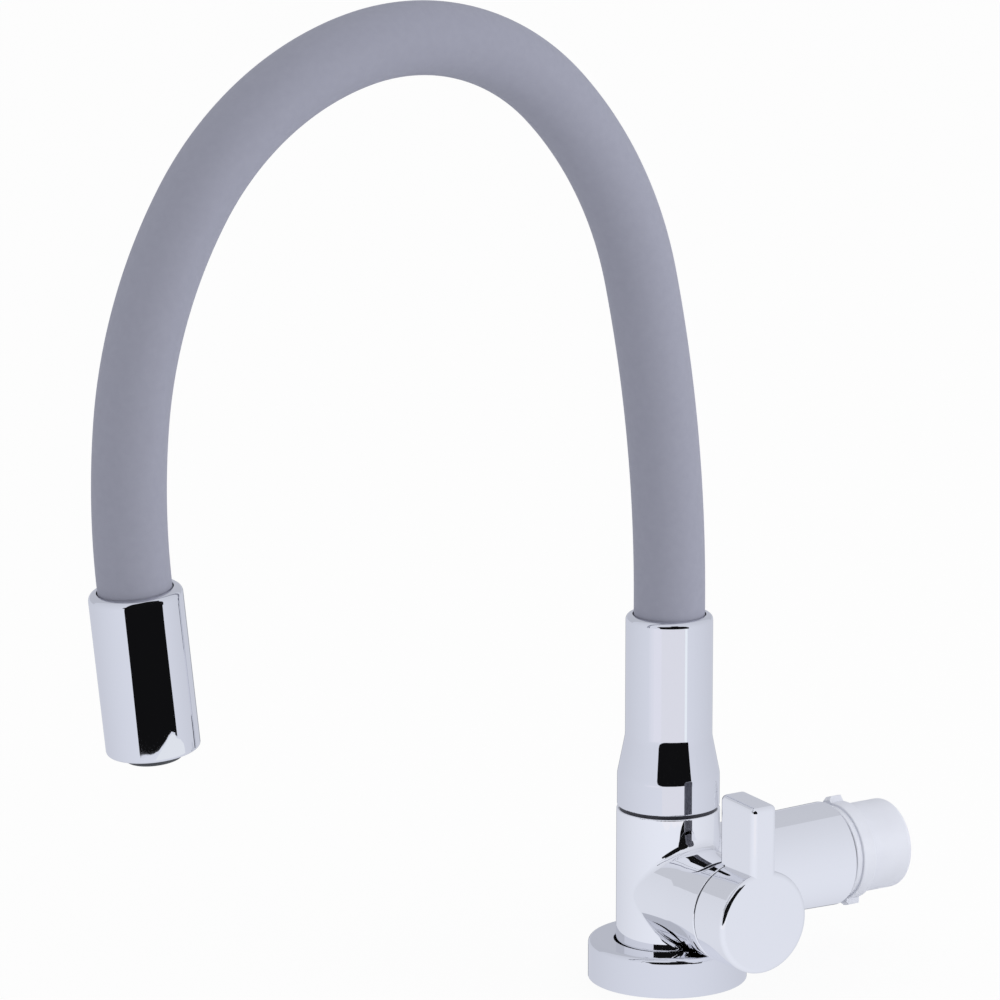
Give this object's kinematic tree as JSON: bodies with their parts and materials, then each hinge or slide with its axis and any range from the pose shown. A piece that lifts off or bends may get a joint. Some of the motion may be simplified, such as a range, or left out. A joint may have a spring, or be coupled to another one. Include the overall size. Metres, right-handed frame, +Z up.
{
  "type": "wall-mounted kitchen tap",
  "caption": "Wall-mounted kitchen tap with a side lever, a swivelling column and a flexible silicone gooseneck spout that ends in a chromed nozzle.",
  "frame": {"origin": "on the inlet's axis, at the shoulder between the adapter's collar and its spigot, where the wall's pipe fitting begins", "axes": "+Y along the inlet into the wall, +Z up, the spout reaches towards -Y, the handle is on +X"},
  "size_m": [0.0706, 0.2702, 0.2931],
  "materials": {
    "chrome": "polished chrome plate",
    "brass": "turned, bare",
    "black_rubber": "moulded",
    "grey_silicone": "matt silicone",
    "white_plastic": "moulded",
    "dark_plastic": "moulded",
    "tube_plastic": "extruded",
    "ceramic": "lapped ceramic",
    "spring_steel": "plain steel"
  },
  "bodies": {
    "tap_body": {"body_casting": "chrome", "foot_flange": "chrome", "flange_grip_ring": "black_rubber", "inlet_gasket": "black_rubber", "inlet_adapter": "white_plastic", "seat_seal": "black_rubber", "fixed_disc": "ceramic", "cartridge_housing": "brass", "cartridge_oring": "black_rubber", "glide_ring": "dark_plastic", "swivel_clip": "spring_steel"},
    "handle": {"turning_disc": "ceramic", "spindle": "brass", "spindle_oring": "black_rubber", "spindle_clip": "spring_steel", "lever_handle": "chrome", "handle_screw": "spring_steel"},
    "spout_base": {"swivel_sleeve": "chrome", "swivel_spigot": "brass", "swivel_oring": "black_rubber"},
    "hose": {"silicone_hose": "grey_silicone", "gooseneck_core": "spring_steel", "inner_tube": "tube_plastic"},
    "outlet": {"outlet_fitting": "brass", "nozzle_shell": "chrome", "aerator_washer": "black_rubber", "aerator_housing": "dark_plastic", "aerator_insert": "dark_plastic"}
  },
  "joints": [
    {"name": "handle_turn", "type": "hinge", "parent": "tap_body", "child": "handle", "pos_m": [0, -0.065, -0.0005], "axis": [1, 0, 0], "range_deg": [0, 90]},
    {"name": "spout_swivel", "type": "hinge", "parent": "tap_body", "child": "spout_base", "pos_m": [0, -0.065, 0], "axis": [0, 0, 1], "continuous": true},
    {"name": "spout_lean", "type": "hinge", "parent": "spout_base", "child": "hose", "pos_m": [0, -0.0667, 0.1227], "axis": [1, 0, 0], "range_deg": [-25, 25], "deforming": ["silicone_hose", "gooseneck_core", "inner_tube"]},
    {"name": "outlet_bend", "type": "hinge", "parent": "hose", "child": "outlet", "pos_m": [0, -0.24226, 0.16701], "axis": [1, 0, 0], "range_deg": [-40, 40], "deforming": ["silicone_hose", "gooseneck_core", "inner_tube"]}
  ]
}
